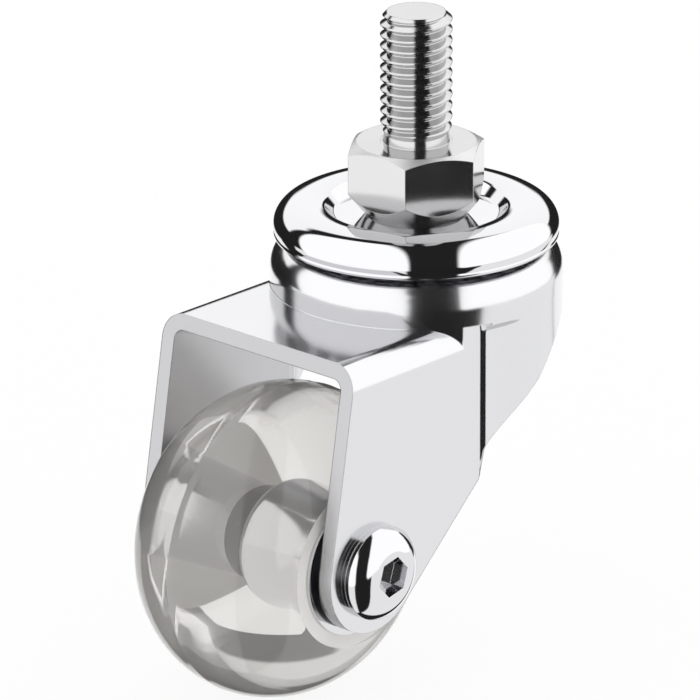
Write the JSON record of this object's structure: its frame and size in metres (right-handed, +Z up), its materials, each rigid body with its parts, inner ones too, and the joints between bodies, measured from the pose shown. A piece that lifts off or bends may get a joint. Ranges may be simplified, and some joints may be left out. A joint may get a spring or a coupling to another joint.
{
  "type": "swivel stem castor",
  "caption": "Small furniture castor with a threaded stem, a swivelling chrome fork and a clear round-crowned wheel.",
  "frame": {"origin": "foot of the threaded stem, on the top face of the hexagon, on the stem's axis", "axes": "+Z up along the stem and the swivel axis, the wheel trails towards -X, the axle lies along Y"},
  "size_m": [0.0565, 0.0342, 0.0735],
  "materials": {
    "chrome_plate": "polished chrome plate",
    "zinc_plated_steel": "bright zinc plate, satin on the hexagon",
    "bright_steel": "ground bearing steel",
    "clear_polyurethane": "clear cast, polished"
  },
  "bodies": {
    "stem": {"threaded_stem": "zinc_plated_steel", "top_cover": "chrome_plate", "upper_balls": "bright_steel", "race_spacer": "bright_steel", "lower_balls": "bright_steel", "lower_race_cup": "bright_steel"},
    "fork": {"fork": "chrome_plate", "axle_screw": "chrome_plate", "axle_barrel_nut": "chrome_plate", "head_washer_near": "chrome_plate", "head_washer_far": "chrome_plate", "side_washer_near": "bright_steel", "side_washer_far": "bright_steel", "bearing_inner_ring_near": "bright_steel", "bearing_inner_ring_far": "bright_steel", "hub_spacer_tube": "bright_steel"},
    "wheel": {"wheel": "clear_polyurethane", "hub_barrel": "bright_steel", "bearing_outer_ring_near": "bright_steel", "bearing_outer_ring_far": "bright_steel", "bearing_balls_near": "bright_steel", "bearing_balls_far": "bright_steel", "bearing_shield_near": "bright_steel", "bearing_shield_far": "bright_steel"}
  },
  "joints": [
    {"name": "fork_swivel", "type": "hinge", "parent": "stem", "child": "fork", "pos_m": [0, 0, -0.012], "axis": [0, 0, 1], "continuous": true},
    {"name": "wheel_spin", "type": "hinge", "parent": "fork", "child": "wheel", "pos_m": [-0.02245, 0, -0.04075], "axis": [0, 1, 0], "continuous": true}
  ]
}
